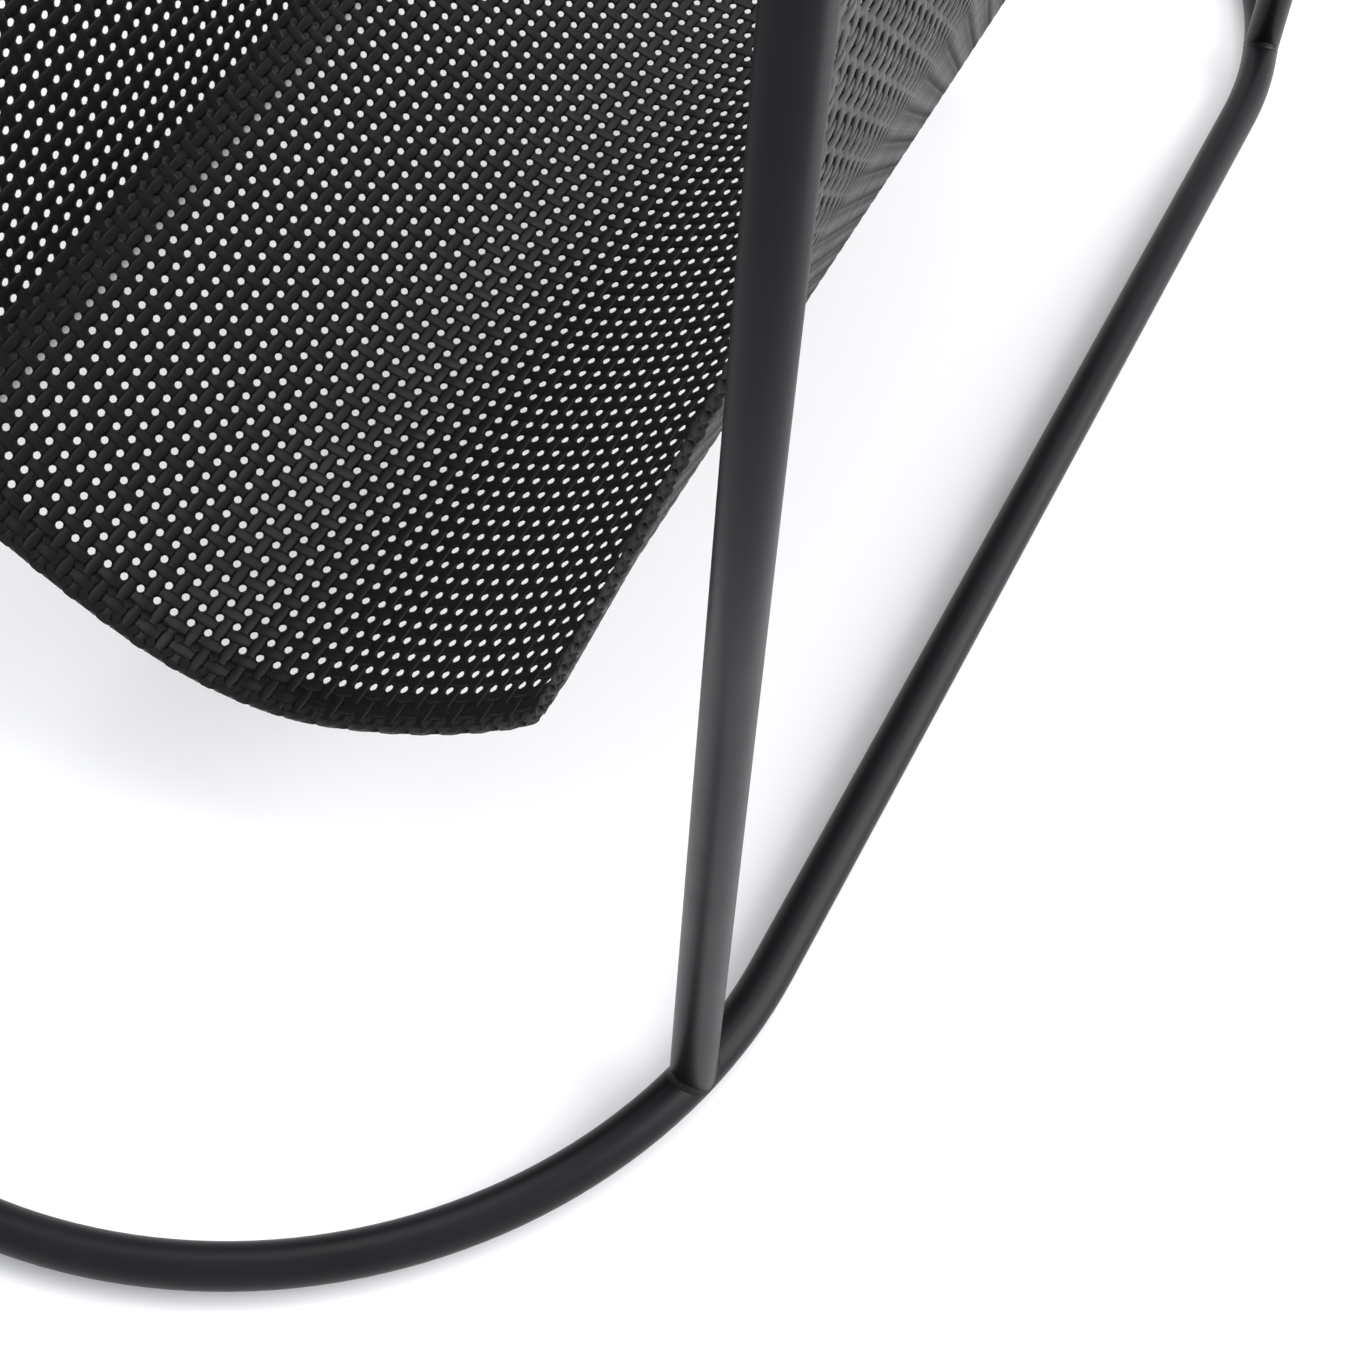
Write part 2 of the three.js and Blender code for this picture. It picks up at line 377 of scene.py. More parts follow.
class HolderStageSettings(bpy.types.PropertyGroup):
    camera_place: FloatVectorProperty(
        name="Camera Place", description="Where the camera stands", subtype="TRANSLATION", unit="LENGTH",
        default=(0.1683, -0.3301, 0.3877),
    )
    camera_heading: FloatProperty(
        name="Heading", description="Turn of the camera to the left of +Y",
        subtype="ANGLE", default=math.radians(23.26),
    )
    camera_pitch: FloatProperty(
        name="Pitch", description="How far the camera looks down", subtype="ANGLE", default=math.radians(54.3)
    )
    camera_roll: FloatProperty(
        name="Roll", description="Lean of the camera", subtype="ANGLE", default=math.radians(4.0)
    )
    camera_lens: FloatProperty(name="Lens", description="Focal length in millimetres", default=65.57)
    floor_colour: FloatVectorProperty(
        name="Floor", description="Colour of the floor", subtype="COLOR", default=linear("#F4F4F5")
    )
    world_light: FloatProperty(
        name="World Light", description="Strength of the light all round", default=1.05
    )
    side_light: FloatProperty(
        name="Side Light", description="Power of the soft light on the right, in watts", default=32
    )
    top_light: FloatProperty(
        name="Top Light", description="Power of the soft light above, in watts", default=23
    )


# ---- rods ----
def ring_rings(height, settings):
    """Circles of points round the ring's rod, in order along the ring."""
    rings = []
    for quarter_turn, side in ((0.0, 1), (math.pi, -1)):
        for i in range(settings.end_steps + 1):
            angle = quarter_turn + math.pi * i / settings.end_steps
            out = Vector((math.cos(angle), math.sin(angle), 0))
            middle = out * RING_HALF_WIDTH + Vector((0, side * RING_HALF_STRAIGHT, height))
            rings.append(circle(middle, out, Vector((0, 0, 1)), settings))
    return rings


def circle(middle, across, up, settings):
    turns = [2 * math.pi * k / settings.rod_sides for k in range(settings.rod_sides)]
    return [middle + (across * math.cos(t) + up * math.sin(t)) * settings.rod_radius for t in turns]


class HOLDER_OT_rods(bpy.types.Operator):
    """Makes the two bent rings and the four uprights as smooth round rods"""

    bl_idname = "holder.rods"
    bl_label = "Rods"

    def execute(self, context):
        settings = context.scene.holder_frame
        coat = powder_coat_satin(settings)
        for name, height in (("base_ring", BASE_Z), ("top_ring", RAIL_Z)):
            ring = new_piece(name + "_rod", *skin(ring_rings(height, settings), True))
            face_outwards(ring)
            finish_piece(ring, coat, "powder_coat", name)
        x_axis, y_axis = Vector((1, 0, 0)), Vector((0, 1, 0))
        for end, end_sign in ENDS.items():
            for side, side_sign in SIDES.items():
                foot = Vector((side_sign * POST_X, end_sign * POST_Y, 0))
                middles = [foot + Vector((0, 0, z)) for z in (BASE_Z, RAIL_Z)]
                rows = [circle(middle, x_axis, y_axis, settings) for middle in middles]
                rod = new_piece(f"upright_{end}_{side}_rod", *skin(rows, False))
                face_outwards(rod)
                finish_piece(rod, coat, "powder_coat", f"upright_{end}_{side}")
        return {"FINISHED"}


# ---- welds ----
def ring_surface(x, y, upwards, settings):
    """How high a ring's rod stands above its axis at a place seen from above, and the same as a share of its
    radius."""
    past = max(abs(y) - RING_HALF_STRAIGHT, 0)
    off = abs(math.hypot(x, past) - RING_HALF_WIDTH) / settings.rod_radius
    rise = math.sqrt(max(1 - off * off, 0))
    return upwards * rise * settings.rod_radius, rise


def weld_rings(foot, height, upwards, settings):
    """Rings of points of one weld: each runs from the upright's skin down a hollow curve to the ring's
    skin."""
    rings = []
    for i in range(WELD_STEPS):
        angle = 2 * math.pi * i / WELD_STEPS
        out = Vector((math.cos(angle), math.sin(angle), 0))
        seat, rise = ring_surface(*(foot + out * settings.rod_radius).xy, upwards, settings)
        leg = settings.weld_leg * max(rise, WELD_LEAST)
        low = foot + out * (settings.rod_radius + leg)
        drop, _ = ring_surface(*low.xy, upwards, settings)
        corner = foot + out * settings.rod_radius + Vector((0, 0, height + seat))
        top = corner + Vector((0, 0, upwards * leg)) + out * WELD_PROUD
        toe = low + Vector((0, 0, height + drop + upwards * WELD_PROUD))
        hollow = [top * (1 - t) ** 2 + corner * 2 * t * (1 - t) + toe * t * t for t in (0.25, 0.5, 0.75)]
        root = corner - out * WELD_ROOT - Vector((0, 0, upwards * WELD_ROOT))
        rings.append([top, *hollow, toe, root])
    return rings


class HOLDER_OT_welds(bpy.types.Operator):
    """Makes the small ground welds where the uprights meet the rings"""

    bl_idname = "holder.welds"
    bl_label = "Welds"

    def execute(self, context):
        settings = context.scene.holder_frame
        coat = bpy.data.materials["powder_coat_satin"]
        for name, height, upwards in (("base", BASE_Z, 1), ("top", RAIL_Z, -1)):
            for end, end_sign in ENDS.items():
                for side, side_sign in SIDES.items():
                    foot = Vector((side_sign * POST_X, end_sign * POST_Y, 0))
                    weld = new_piece(
                        f"weld_{name}_{end}_{side}", *skin(weld_rings(foot, height, upwards, settings), True)
                    )
                    face_outwards(weld)
                    finish_piece(weld, coat, "powder_coat")
        return {"FINISHED"}


# ---- the woven trough ----
def cloth_line(settings):
    """Points of the middle of the cloth from its left edge to its right, in the XZ plane: a round bottom, a
    crease, a wall that bends upright, then over each rail and down again on the outside."""
    x, z, slope = 0.0, sling_low.z + settings.thickness / 2, 0.0
    side = []
    wall_bend = len(settings.arc_radii) - 1
    for i, (radius, end) in enumerate(zip(settings.arc_radii, settings.arc_slopes)):
        if i == wall_bend:
            steps = [settings.wall_length * k / STRAIGHT_STEPS for k in range(1, STRAIGHT_STEPS + 1)]
            side += [(x + step * math.cos(slope), z + step * math.sin(slope)) for step in steps]
            x, z = side[-1]
        turns = [slope + (end - slope) * k / BEND_STEPS for k in range(1, BEND_STEPS + 1)]
        side += [
            (x + radius * (math.sin(t) - math.sin(slope)), z + radius * (math.cos(slope) - math.cos(t)))
            for t in turns
        ]
        x, z = side[-1]
        slope = end
    neck_z = RAIL_Z - settings.sleeve_neck
    side += [
        (x + (RING_HALF_WIDTH - x) * k / STRAIGHT_STEPS, z + (neck_z - z) * k / STRAIGHT_STEPS)
        for k in range(1, STRAIGHT_STEPS)
    ]
    side = [(x - settings.thickness / 2 * ease((z - neck_z) / NECK_EASE + 1), z) for x, z in side]
    apart = settings.thickness / 2
    neck = math.hypot(apart, settings.sleeve_neck)
    touch = math.acos(settings.sleeve_radius / neck) - math.atan(apart / settings.sleeve_neck)
    start, stop = 1.5 * math.pi - touch, touch - math.pi / 2
    side.append((RING_HALF_WIDTH - apart, neck_z))
    for i in range(SLEEVE_STEPS + 1):
        a = start + (stop - start) * i / SLEEVE_STEPS
        over_x = RING_HALF_WIDTH + settings.sleeve_radius * math.cos(a)
        over_z = RAIL_Z + settings.sleeve_radius * math.sin(a)
        side.append((over_x, over_z))
    side.append((RING_HALF_WIDTH + apart, neck_z))
    side.append((RING_HALF_WIDTH + apart, SEAM_Z - SEAM_EDGE))
    return [(-x, z) for x, z in reversed(side)] + [(0, sling_low.z + apart)] + side


def ease(t):
    t = min(max(t, 0), 1)
    return t * t * (3 - 2 * t)


def woven_tree():
    """Node tree for a bundle of yarns of a plain weave, laid on the line of the cloth.

    Yarns are numbered from the middle of the cloth, and so are their crossings. Each is a closed tube that
    swings over and under at every crossing, and is narrow between crossings so that the holes are round.
    The flat cloth is folded outwards at its two ends, and then laid on the line that comes in as Geometry."""
    tree, given = new_tree(
        "woven_yarns",
        [
            ("Yarns", "Int", 10),
            ("First Yarn", "Int", 0),
            ("Yarn Pitch", "Float", 3.7 * MM),
            ("Crossings", "Int", 10),
            ("First Crossing", "Int", 0),
            ("Crossing Pitch", "Float", 3.5 * MM),
            ("Runs Across", "Bool", True),
            ("Waist", "Float", 1 * MM),
            ("Shoulder", "Float", 1.3 * MM),
            ("Half Depth", "Float", 0.6 * MM),
            ("Crimp", "Float", 0.6 * MM),
            ("Fold Start", "Float", 0.1),
            ("Fold Radius", "Float", 1.2 * MM),
            ("Fold Reach", "Float", 0.3),
            ("Material", "Material", None),
        ],
    )
    # tubes, each with its own number
    segments = add(tree, "ShaderNodeMath", given["Crossings"], YARN_STEPS, operation="MULTIPLY")
    sizes = {"Vertices": YARN_SIDES, "Side Segments": segments, "Radius": 1.0, "Depth": 1.0}
    tube = add(tree, "GeometryNodeMeshCylinder", named=sizes, fill_type="NGON")
    place = add(tree, "GeometryNodeInputPosition")
    tube = add(
        tree, "GeometryNodeStoreNamedAttribute", tube, named={"Name": "section", "Value": place},
        data_type="FLOAT_VECTOR",
    )
    index = add(tree, "GeometryNodeInputIndex")
    number = add(tree, "ShaderNodeMath", index, given["First Yarn"], operation="ADD")
    starts = add(tree, "GeometryNodeMeshLine", named={"Count": given["Yarns"]}, mode="OFFSET")
    starts = add(
        tree, "GeometryNodeStoreNamedAttribute", starts, named={"Name": "yarn", "Value": number},
        data_type="FLOAT",
    )
    tubes = add(tree, "GeometryNodeInstanceOnPoints", starts, named={"Instance": tube})
    yarns = add(tree, "GeometryNodeRealizeInstances", tubes)
    # where each point lies along its yarn, in crossings, and how the yarn swings there
    section = add(tree, "GeometryNodeInputNamedAttribute", "section", data_type="FLOAT_VECTOR")
    yarn = add(tree, "GeometryNodeInputNamedAttribute", "yarn", data_type="FLOAT")
    x, y, z = add(tree, "ShaderNodeSeparateXYZ", section).node.outputs
    share = add(tree, "ShaderNodeMath", z, 0.5, operation="ADD")
    run = add(
        tree, "ShaderNodeMath", share, given["Crossings"], given["First Crossing"], operation="MULTIPLY_ADD"
    )
    run = add(tree, "ShaderNodeMath", run, 0.5, operation="SUBTRACT")
    parity = add(tree, "ShaderNodeMath", run, yarn, operation="ADD")
    parity = add(tree, "ShaderNodeMath", parity, given["Runs Across"], operation="ADD")
    swing = add(tree, "ShaderNodeMath", parity, math.pi, operation="MULTIPLY")
    swing = add(tree, "ShaderNodeMath", swing, operation="COSINE")
    beat = add(tree, "ShaderNodeMath", run, math.pi, operation="MULTIPLY")
    beat = add(tree, "ShaderNodeMath", beat, operation="COSINE")
    beat = add(tree, "ShaderNodeMath", beat, operation="ABSOLUTE")
    width = add(tree, "ShaderNodeMapRange", beat, 0.0, 0.7, given["Waist"], given["Shoulder"])
    sideways = add(tree, "ShaderNodeMath", x, width, operation="MULTIPLY")
    raised = add(tree, "ShaderNodeMath", swing, given["Crimp"], operation="MULTIPLY")
    raised = add(tree, "ShaderNodeMath", y, given["Half Depth"], raised, operation="MULTIPLY_ADD")
    # the flat cloth: u across the trough, v along it, and the height above the middle of the cloth
    along = add(tree, "ShaderNodeMath", run, given["Crossing Pitch"], operation="MULTIPLY")
    lane = add(tree, "ShaderNodeMath", yarn, given["Yarn Pitch"], operation="MULTIPLY")
    right = add(tree, "ShaderNodeMath", lane, sideways, operation="ADD")
    left = add(tree, "ShaderNodeMath", lane, sideways, operation="SUBTRACT")
    across = add(tree, "ShaderNodeCombineXYZ", along, right, raised)
    lengthways = add(tree, "ShaderNodeCombineXYZ", left, along, raised)
    flat = add(tree, "GeometryNodeSwitch", given["Runs Across"], lengthways, across, input_type="VECTOR")
    u, v, height = add(tree, "ShaderNodeSeparateXYZ", flat).node.outputs
    # the fold at each end
    reach = add(tree, "ShaderNodeMath", v, operation="ABSOLUTE")
    past = add(tree, "ShaderNodeMath", reach, given["Fold Start"], operation="SUBTRACT")
    past = add(tree, "ShaderNodeMath", past, 0.0, operation="MAXIMUM")
    turn = add(tree, "ShaderNodeMath", past, given["Fold Radius"], operation="DIVIDE")
    turn = add(tree, "ShaderNodeMath", turn, math.pi, operation="MINIMUM")
    bend = add(tree, "ShaderNodeMath", turn, given["Fold Radius"], operation="MULTIPLY")
    back = add(tree, "ShaderNodeMath", past, bend, operation="SUBTRACT")
    sine = add(tree, "ShaderNodeMath", turn, operation="SINE")
    flank = add(tree, "ShaderNodeMath", reach, given["Fold Start"], operation="MINIMUM")
    folded = add(tree, "ShaderNodeMath", sine, given["Fold Radius"], flank, operation="MULTIPLY_ADD")
    folded = add(tree, "ShaderNodeMath", folded, back, operation="SUBTRACT")
    cosine = add(tree, "ShaderNodeMath", turn, operation="COSINE")
    sink = add(tree, "ShaderNodeMath", cosine, 1.0, operation="SUBTRACT")
    sink = add(tree, "ShaderNodeMath", sink, given["Fold Radius"], operation="MULTIPLY")
    # the fold fades out before the sleeves, which are cut straight
    beyond = add(tree, "ShaderNodeMath", u, operation="ABSOLUTE")
    edge = add(tree, "ShaderNodeMath", given["Fold Reach"], FOLD_FADE, operation="ADD")
    fade = add(
        tree, "ShaderNodeMapRange", beyond, given["Fold Reach"], edge, 1.0, 0.0,
        interpolation_type="SMOOTHSTEP",
    )
    turn = add(tree, "ShaderNodeMath", turn, fade, operation="MULTIPLY")
    sink = add(tree, "ShaderNodeMath", sink, fade, operation="MULTIPLY")
    out = add(tree, "ShaderNodeMix", fade, reach, folded, data_type="FLOAT")
    sine = add(tree, "ShaderNodeMath", turn, operation="SINE")
    cosine = add(tree, "ShaderNodeMath", turn, operation="COSINE")
    out = add(tree, "ShaderNodeMath", height, sine, out, operation="MULTIPLY_ADD")
    lift = add(tree, "ShaderNodeMath", height, cosine, sink, operation="MULTIPLY_ADD")
    end = add(tree, "ShaderNodeMath", v, operation="SIGN")
    out = add(tree, "ShaderNodeMath", out, end, operation="MULTIPLY")
    # onto the line of the cloth
    line = add(tree, "GeometryNodeMeshToPoints", given["Geometry"])
    line = add(tree, "GeometryNodePointsToCurves", line)
    half = add(tree, "ShaderNodeMath", add(tree, "GeometryNodeCurveLength", line), 0.5, operation="MULTIPLY")
    distance = add(tree, "ShaderNodeMath", u, half, operation="ADD")
    sample = add(
        tree, "GeometryNodeSampleCurve", named={"Curves": line, "Length": distance}, mode="LENGTH",
        use_all_curves=True,
    ).node.outputs
    tangent = add(tree, "ShaderNodeVectorMath", sample["Tangent"], operation="NORMALIZE")
    tangent = add(tree, "ShaderNodeSeparateXYZ", tangent)
    downhill = add(tree, "ShaderNodeMath", tangent.node.outputs["Z"], -1.0, operation="MULTIPLY")
    normal = add(tree, "ShaderNodeCombineXYZ", downhill, 0.0, tangent.node.outputs["X"])
    lifted = add(tree, "ShaderNodeVectorMath", normal, lift, operation="SCALE")
    laid = add(tree, "ShaderNodeVectorMath", sample["Position"], lifted, operation="ADD")
    endways = add(tree, "ShaderNodeCombineXYZ", 0.0, out, 0.0)
    laid = add(tree, "ShaderNodeVectorMath", laid, endways, operation="ADD")
    yarns = add(tree, "GeometryNodeSetPosition", yarns, named={"Position": laid})
    yarns = add(tree, "GeometryNodeSetShadeSmooth", yarns)
    yarns = add(tree, "GeometryNodeSetMaterial", yarns, named={"Material": given["Material"]})
    tree.links.new(yarns, tree.nodes.new("NodeGroupOutput").inputs["Geometry"])
    return tree


class ClothPlan:
    """The sizes of the weave that follow from the settings."""

    def __init__(self, settings):
        self.fold_radius = settings.thickness / 2
        self.fold_start = TROUGH_HALF - settings.thickness / 2 - self.fold_radius
        apex = self.fold_start + self.fold_radius * math.pi / 2
        self.along_pitch = apex / settings.half_count
        self.line = [Vector((x, 0, z)) for x, z in cloth_line(settings)]
        self.length = sum((b - a).length for a, b in zip(self.line, self.line[1:]))
        self.across_pitch = self.length / (2 * settings.half_yarns + 1)
        self.folded_yarns = settings.half_yarns - SLEEVE_YARNS
        self.reach = self.folded_yarns * self.across_pitch
        self.hem_crossing = settings.half_count + settings.hem_yarns


def bundle(name, settings, plan, first, last, reach, runs_across):
    """One piece of the cloth: the yarns numbered first to last, each with crossings from -reach to reach."""
    tree = bpy.data.node_groups.get("woven_yarns") or woven_tree()
    yarn = bpy.data.materials.get("vinyl_coated_yarn") or vinyl_coated_yarn(settings)
    line = [(i, i + 1) for i in range(len(plan.line) - 1)]
    piece = new_piece(name, plan.line, [], line)
    pitches = (plan.along_pitch, plan.across_pitch)
    follow_tree(
        piece,
        tree,
        yarns=last - first + 1,
        first_yarn=first,
        yarn_pitch=pitches[0 if runs_across else 1],
        crossings=2 * reach + 1,
        first_crossing=-reach,
        crossing_pitch=pitches[1 if runs_across else 0],
        runs_across=runs_across,
        waist=settings.waist,
        shoulder=settings.shoulder,
        half_depth=settings.half_depth,
        crimp=settings.crimp,
        fold_start=plan.fold_start,
        fold_radius=plan.fold_radius,
        fold_reach=plan.reach,
        material=yarn,
    )
    return piece, yarn


class HOLDER_OT_long_yarns(bpy.types.Operator):
    """Makes the yarns that run along the trough, over its folded ends, and along the sleeves"""

    bl_idname = "holder.long_yarns"
    bl_label = "Long Yarns"

    def execute(self, context):
        settings = context.scene.holder_cloth
        plan = ClothPlan(settings)
        last = plan.folded_yarns
        middle = last // 2
        blocks = [
            ("mesh_long_yarns_left_wall", -last, -middle - 1),
            ("mesh_long_yarns_left_bottom", -middle, 0),
            ("mesh_long_yarns_right_bottom", 1, middle),
            ("mesh_long_yarns_right_wall", middle + 1, last),
        ]
        for name, first, final in blocks:
            piece, yarn = bundle(name, settings, plan, first, final, plan.hem_crossing, False)
            finish_piece(piece, yarn, "vinyl_mesh", "sling", "hem_front", "hem_back")
        for side, sign in SIDES.items():
            ends = sorted((sign * (last + 1), sign * settings.half_yarns))
            name = f"sleeve_long_yarns_{side}"
            piece, yarn = bundle(name, settings, plan, *ends, settings.half_count, False)
            finish_piece(piece, yarn, "vinyl_mesh", f"sleeve_{side}")
        return {"FINISHED"}


def seal_rings(settings, plan, end):
    """Sections of the melted band in one hem, in order along the line of the cloth: it fills the holes of
    both layers, and leaves only the crowns of the yarns standing out of it."""
    inner, outer = SEAL_PROUD, settings.thickness + SEAL_PROUD
    tip = plan.fold_start + SEAL_TIP
    root = (settings.half_count - settings.hem_yarns) * plan.along_pitch
    run = -plan.length / 2
    rings = []
    for before, here, after in zip(plan.line, plan.line[1:], plan.line[2:]):
        run += (here - before).length
        if abs(run) > plan.reach:
            continue
        ahead = (after - before).normalized()
        inwards = Vector((-ahead.z, 0, ahead.x))
        corners = ((inner, root), (inner, tip), (-outer, tip), (-outer, root))
        rings.append([here + inwards * lift + Vector((0, end * y, 0)) for lift, y in corners])
    return rings


class HOLDER_OT_hem_seals(bpy.types.Operator):
    """Makes the bands of melted vinyl that join the two layers of each hem"""

    bl_idname = "holder.hem_seals"
    bl_label = "Hem Seals"

    def execute(self, context):
        settings = context.scene.holder_cloth
        plan = ClothPlan(settings)
        vinyl = bpy.data.materials["vinyl_coated_yarn"]
        for name, end in ENDS.items():
            seal = new_piece(f"hem_seal_{name}", *skin(seal_rings(settings, plan, end), False))
            face_outwards(seal)
            finish_piece(seal, vinyl, "vinyl_mesh", f"hem_{name}")
        return {"FINISHED"}


class HOLDER_OT_cross_yarns(bpy.types.Operator):
    """Makes the yarns that cross the trough from sleeve to sleeve, and those of the folded hems"""

    bl_idname = "holder.cross_yarns"
    bl_label = "Cross Yarns"

    def execute(self, context):
        settings = context.scene.holder_cloth
        plan = ClothPlan(settings)
        last = settings.half_count
        middle = last // 2
        for end, sign in ENDS.items():
            ends = sorted((sign * (last + 1), sign * plan.hem_crossing))
            piece, yarn = bundle(f"hem_cross_yarns_{end}", settings, plan, *ends, plan.folded_yarns, True)
            finish_piece(piece, yarn, "vinyl_mesh", f"hem_{end}")
        blocks = [
            ("mesh_cross_yarns_front", -last, -middle - 1),
            ("mesh_cross_yarns_front_middle", -middle, 0),
            ("mesh_cross_yarns_back_middle", 1, middle),
            ("mesh_cross_yarns_back", middle + 1, last),
        ]
        for name, first, final in blocks:
            piece, yarn = bundle(name, settings, plan, first, final, settings.half_yarns, True)
            finish_piece(piece, yarn, "vinyl_mesh", "sling", "sleeve_left", "sleeve_right")
        return {"FINISHED"}


# ---- stitches ----
def stitch_tree():
    """Node tree that puts one short arched stitch of thread at every point, facing away from the rail's
    plane."""
    tree, given = new_tree(
        "sleeve_stitches",
        [
            ("Length", "Float", 2.7 * MM),
            ("Thread Radius", "Float", 0.3 * MM),
            ("Seam Place", "Float", 0.1),
            ("Material", "Material", None),
        ],
    )
    sizes = {"Vertices": 6, "Side Segments": 6, "Radius": given["Thread Radius"], "Depth": 1.0}
    thread = add(tree, "GeometryNodeMeshCylinder", named=sizes, fill_type="NGON")
    x, y, z = add(tree, "ShaderNodeSeparateXYZ", add(tree, "GeometryNodeInputPosition")).node.outputs
    arch = add(tree, "ShaderNodeMath", z, math.pi, operation="MULTIPLY")
    arch = add(tree, "ShaderNodeMath", arch, operation="COSINE")
    arch = add(tree, "ShaderNodeMath", arch, STITCH_ARCH, x, operation="MULTIPLY_ADD")
    arch = add(tree, "ShaderNodeMath", arch, STITCH_SINK, operation="SUBTRACT")
    along = add(tree, "ShaderNodeMath", z, given["Length"], operation="MULTIPLY")
    down = add(tree, "ShaderNodeMath", y, -1.0, operation="MULTIPLY")
    bent = add(tree, "ShaderNodeCombineXYZ", arch, along, down)
    thread = add(tree, "GeometryNodeSetPosition", thread, named={"Position": bent})
    thread = add(tree, "GeometryNodeSetShadeSmooth", thread)
    where = add(tree, "ShaderNodeSeparateXYZ", add(tree, "GeometryNodeInputPosition")).node.outputs
    far = add(tree, "ShaderNodeMath", where["X"], operation="ABSOLUTE")
    outer = add(tree, "ShaderNodeMath", far, given["Seam Place"], operation="SUBTRACT")
    facing = add(tree, "ShaderNodeMath", outer, where["X"], operation="MULTIPLY")
    inwards = add(tree, "ShaderNodeMath", facing, 0.0, operation="LESS_THAN")
    turned = add(tree, "ShaderNodeMath", inwards, math.pi, operation="MULTIPLY")
    rotation = add(tree, "FunctionNodeEulerToRotation", add(tree, "ShaderNodeCombineXYZ", 0.0, 0.0, turned))
    placed = add(
        tree, "GeometryNodeInstanceOnPoints", given["Geometry"],
        named={"Instance": thread, "Rotation": rotation},
    )
    whole = add(tree, "GeometryNodeRealizeInstances", placed)
    whole = add(tree, "GeometryNodeSetMaterial", whole, named={"Material": given["Material"]})
    tree.links.new(whole, tree.nodes.new("NodeGroupOutput").inputs["Geometry"])
    return tree


class HOLDER_OT_stitches(bpy.types.Operator):
    """Sews the sleeves: one row of stitches through both layers under each rail"""

    bl_idname = "holder.stitches"
    bl_label = "Stitches"

    def execute(self, context):
        settings = context.scene.holder_cloth
        plan = ClothPlan(settings)
        tree = stitch_tree()
        thread = polyester_thread(settings)
        height = SEAM_Z + STITCH_HEIGHT
        count = settings.half_count
        for side, sign in SIDES.items():
            points = [
                (sign * RING_HALF_WIDTH + face * settings.thickness, (k + 0.5) * plan.along_pitch, height)
                for face in (-1, 1)
                for k in range(-count, count)
            ]
            seam = new_piece(f"sleeve_stitches_{side}", points, [])
            follow_tree(
                seam,
                tree,
                length=settings.stitch_length,
                thread_radius=settings.thread_radius,
                seam_place=RING_HALF_WIDTH,
                material=thread,
            )
            finish_piece(seam, thread, "vinyl_mesh")
        return {"FINISHED"}


# ---- glides ----
def glide_rings(middle, along, settings):
    """The outline of a glide at its two ends: a flat foot, straight sides and a hollow top that fits the
    rod."""
    across = Vector((-along.y, along.x, 0))
    half = (glide_high.x - glide_low.x) / 2
    length = (glide_high.y - glide_low.y) / 2
    contact = settings.rod_radius + GLIDE_FIT
    grip = math.asin(half / contact)
    turns = [grip * (1 - i / GLIDE_STEPS) for i in range(2 * GLIDE_STEPS + 1)]
    hollow = [(contact * math.sin(a), -contact * math.cos(a)) for a in turns]
    outline = [(-half, -BASE_Z), (half, -BASE_Z), *hollow]
    return [
        [middle + across * a + Vector((0, 0, b)) + along * end for a, b in outline]
        for end in (-length, length)
    ]


class HOLDER_OT_glides(bpy.types.Operator):
    """Makes the four moulded pads that the frame stands on"""

    bl_idname = "holder.glides"
    bl_label = "Floor Glides"

    def execute(self, context):
        settings = context.scene.holder_frame
        nylon = moulded_nylon(settings)
        ring_end = RING_HALF_STRAIGHT + RING_HALF_WIDTH
        places = [
            ("left", Vector((-RING_HALF_WIDTH, 0, BASE_Z)), Vector((0, 1, 0))),
            ("right", Vector((RING_HALF_WIDTH, 0, BASE_Z)), Vector((0, 1, 0))),
            ("front", Vector((0, -ring_end, BASE_Z)), Vector((1, 0, 0))),
            ("back", Vector((0, ring_end, BASE_Z)), Vector((1, 0, 0))),
        ]
        for name, middle, along in places:
            pad = new_piece(f"glide_{name}_pad", *skin(glide_rings(middle, along, settings), False))
            face_outwards(pad)
            rounding = pad.modifiers.new("rounding", "BEVEL")
            rounding.width = settings.glide_edge
            rounding.segments = 3
            rounding.limit_method = "ANGLE"
            rounding.angle_limit = math.radians(35)
            rounding.harden_normals = True
            apply_modifiers(pad)
            finish_piece(pad, nylon, "nylon", f"glide_{name}")
        return {"FINISHED"}


# ---- stage ----
def soft_light(name, place, target, size, power):
    lamp = bpy.data.lights.new(name, "AREA")
    lamp.shape = "RECTANGLE"
    lamp.size, lamp.size_y = size
    lamp.energy = power
    lamp_object = bpy.data.objects.new(name, lamp)
    lamp_object.location = place
    lamp_object.rotation_euler = (Vector(target) - Vector(place)).to_track_quat("-Z", "Y").to_euler()
    bpy.context.scene.collection.objects.link(lamp_object)


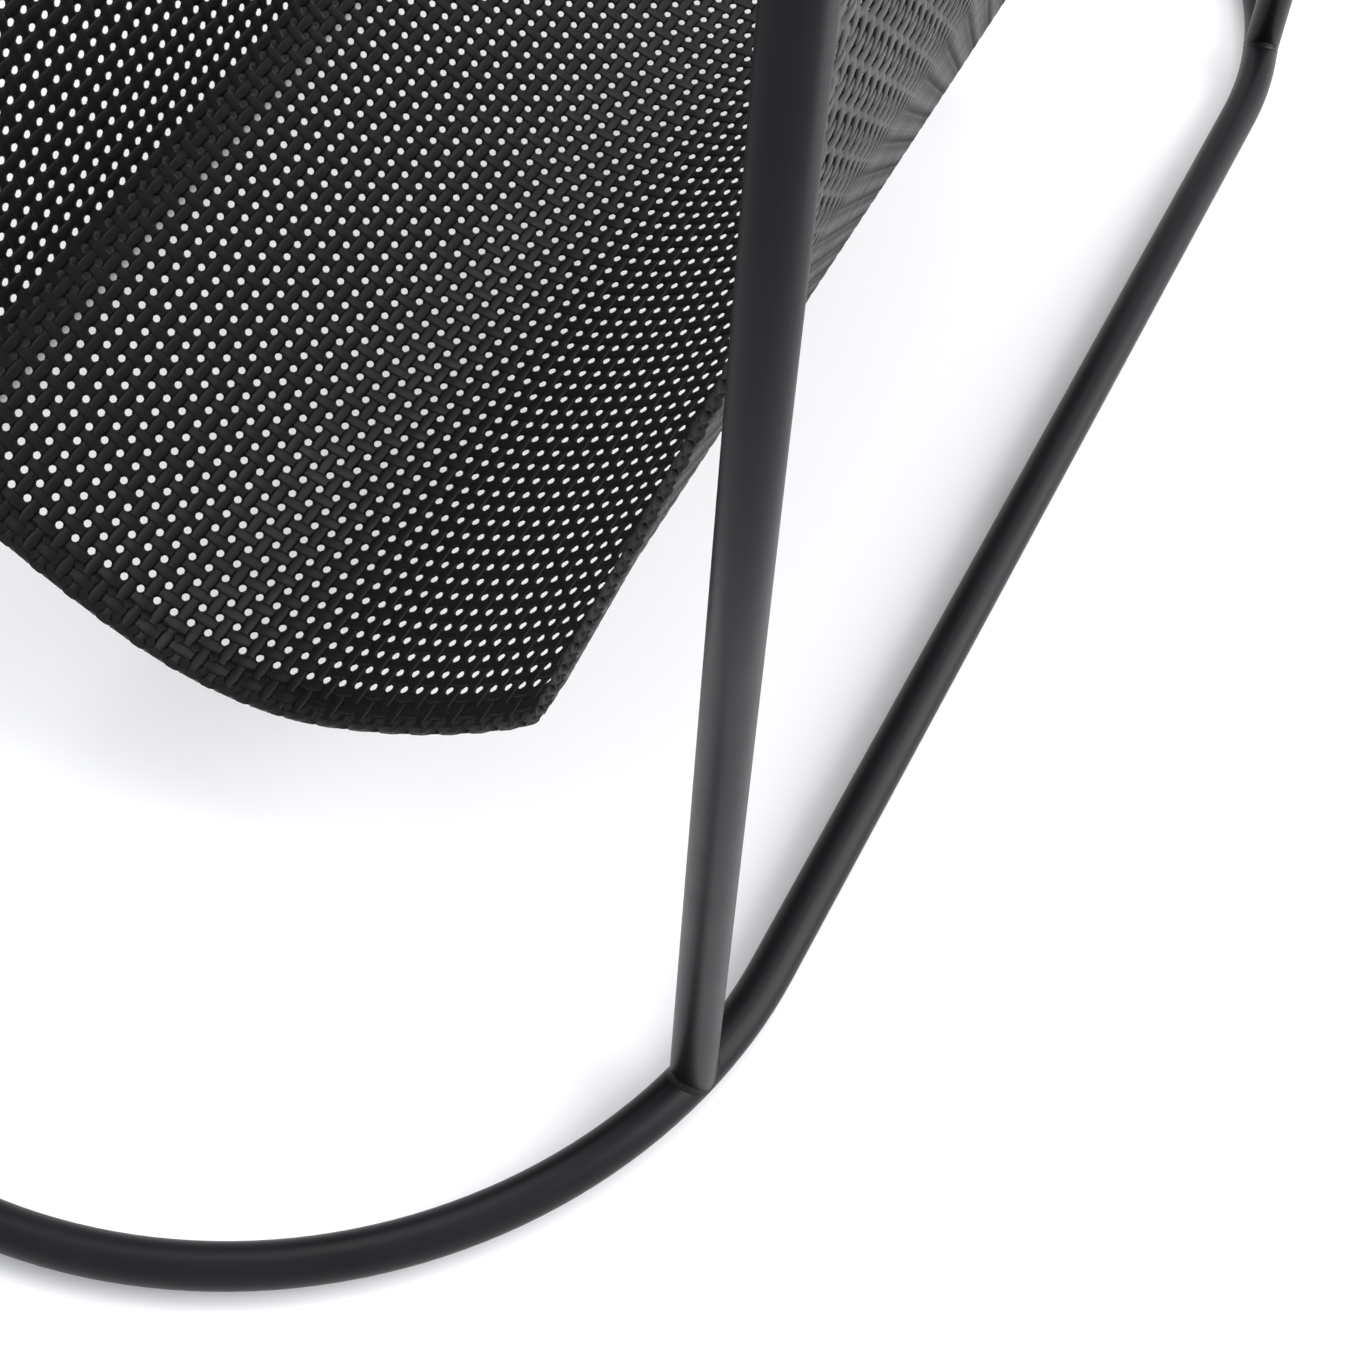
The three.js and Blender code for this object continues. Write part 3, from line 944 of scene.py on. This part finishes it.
class HOLDER_OT_stage(bpy.types.Operator):
    """Makes the pale floor, the soft light and the camera"""

    bl_idname = "holder.stage"
    bl_label = "Stage"

    def execute(self, context):
        settings = context.scene.holder_stage
        half = FLOOR_HALF
        corners = [(-half, -half, 0), (half, -half, 0), (half, half, 0), (-half, half, 0)]
        floor = new_piece("studio_floor", corners, [(0, 1, 2, 3)])
        floor.data.materials.append(matt_white_paint(settings))

        world = bpy.data.worlds.new("studio_light")
        world.use_nodes = True
        sky = world.node_tree.nodes["Background"]
        sky.inputs["Color"].default_value = (*linear("#FBFCFF"), 1)
        sky.inputs["Strength"].default_value = settings.world_light
        context.scene.world = world
        context.scene.view_settings.view_transform = "Standard"

        soft_light("side_light", (1.3, 0.5, 0.7), (0.1, 0, 0.1), (1.2, 1.6), settings.side_light)
        soft_light("top_light", (-0.2, 0.6, 1.9), (0, 0, 0), (1.6, 1.6), settings.top_light)

        lens = bpy.data.cameras.new("camera")
        lens.lens = settings.camera_lens
        lens.sensor_width = 36
        lens.clip_start = 0.01
        camera = bpy.data.objects.new("camera", lens)
        context.scene.collection.objects.link(camera)
        turn = Matrix.Rotation(settings.camera_heading, 4, "Z")
        tilt = Matrix.Rotation(math.pi / 2 - settings.camera_pitch, 4, "X")
        lean = Matrix.Rotation(settings.camera_roll, 4, "Z")
        camera.location = settings.camera_place
        camera.rotation_euler = (turn @ tilt @ lean).to_euler()
        context.scene.camera = camera
        return {"FINISHED"}


class HOLDER_PT_panel(bpy.types.Panel):
    """Lists the steps and their sizes"""

    bl_idname = "HOLDER_PT_panel"
    bl_label = "Magazine Holder"
    bl_space_type = "VIEW_3D"
    bl_region_type = "UI"
    bl_category = "Holder"

    def draw(self, context):
        for step in STEPS:
            self.layout.operator(step.bl_idname)
        for owner in (context.scene.holder_frame, context.scene.holder_cloth, context.scene.holder_stage):
            box = self.layout.box()
            for name in owner.__annotations__:
                box.prop(owner, name)


STEPS = [
    HOLDER_OT_rods,
    HOLDER_OT_welds,
    HOLDER_OT_long_yarns,
    HOLDER_OT_hem_seals,
    HOLDER_OT_cross_yarns,
    HOLDER_OT_stitches,
    HOLDER_OT_glides,
    HOLDER_OT_stage,
]
SETTINGS = {
    "holder_frame": HolderFrameSettings,
    "holder_cloth": HolderClothSettings,
    "holder_stage": HolderStageSettings,
}


def register():
    for cls in (*SETTINGS.values(), *STEPS, HOLDER_PT_panel):
        bpy.utils.register_class(cls)
    for name, cls in SETTINGS.items():
        setattr(bpy.types.Scene, name, PointerProperty(type=cls))


def unregister():
    for name in SETTINGS:
        delattr(bpy.types.Scene, name)
    for cls in reversed((*SETTINGS.values(), *STEPS, HOLDER_PT_panel)):
        bpy.utils.unregister_class(cls)


def main():
    register()
    bpy.ops.holder.rods()
    bpy.ops.holder.welds()
    bpy.ops.holder.long_yarns()
    bpy.ops.holder.hem_seals()
    bpy.ops.holder.cross_yarns()
    bpy.ops.holder.stitches()
    bpy.ops.holder.glides()
    bpy.ops.holder.stage()


if __name__ == "__main__":
    main()
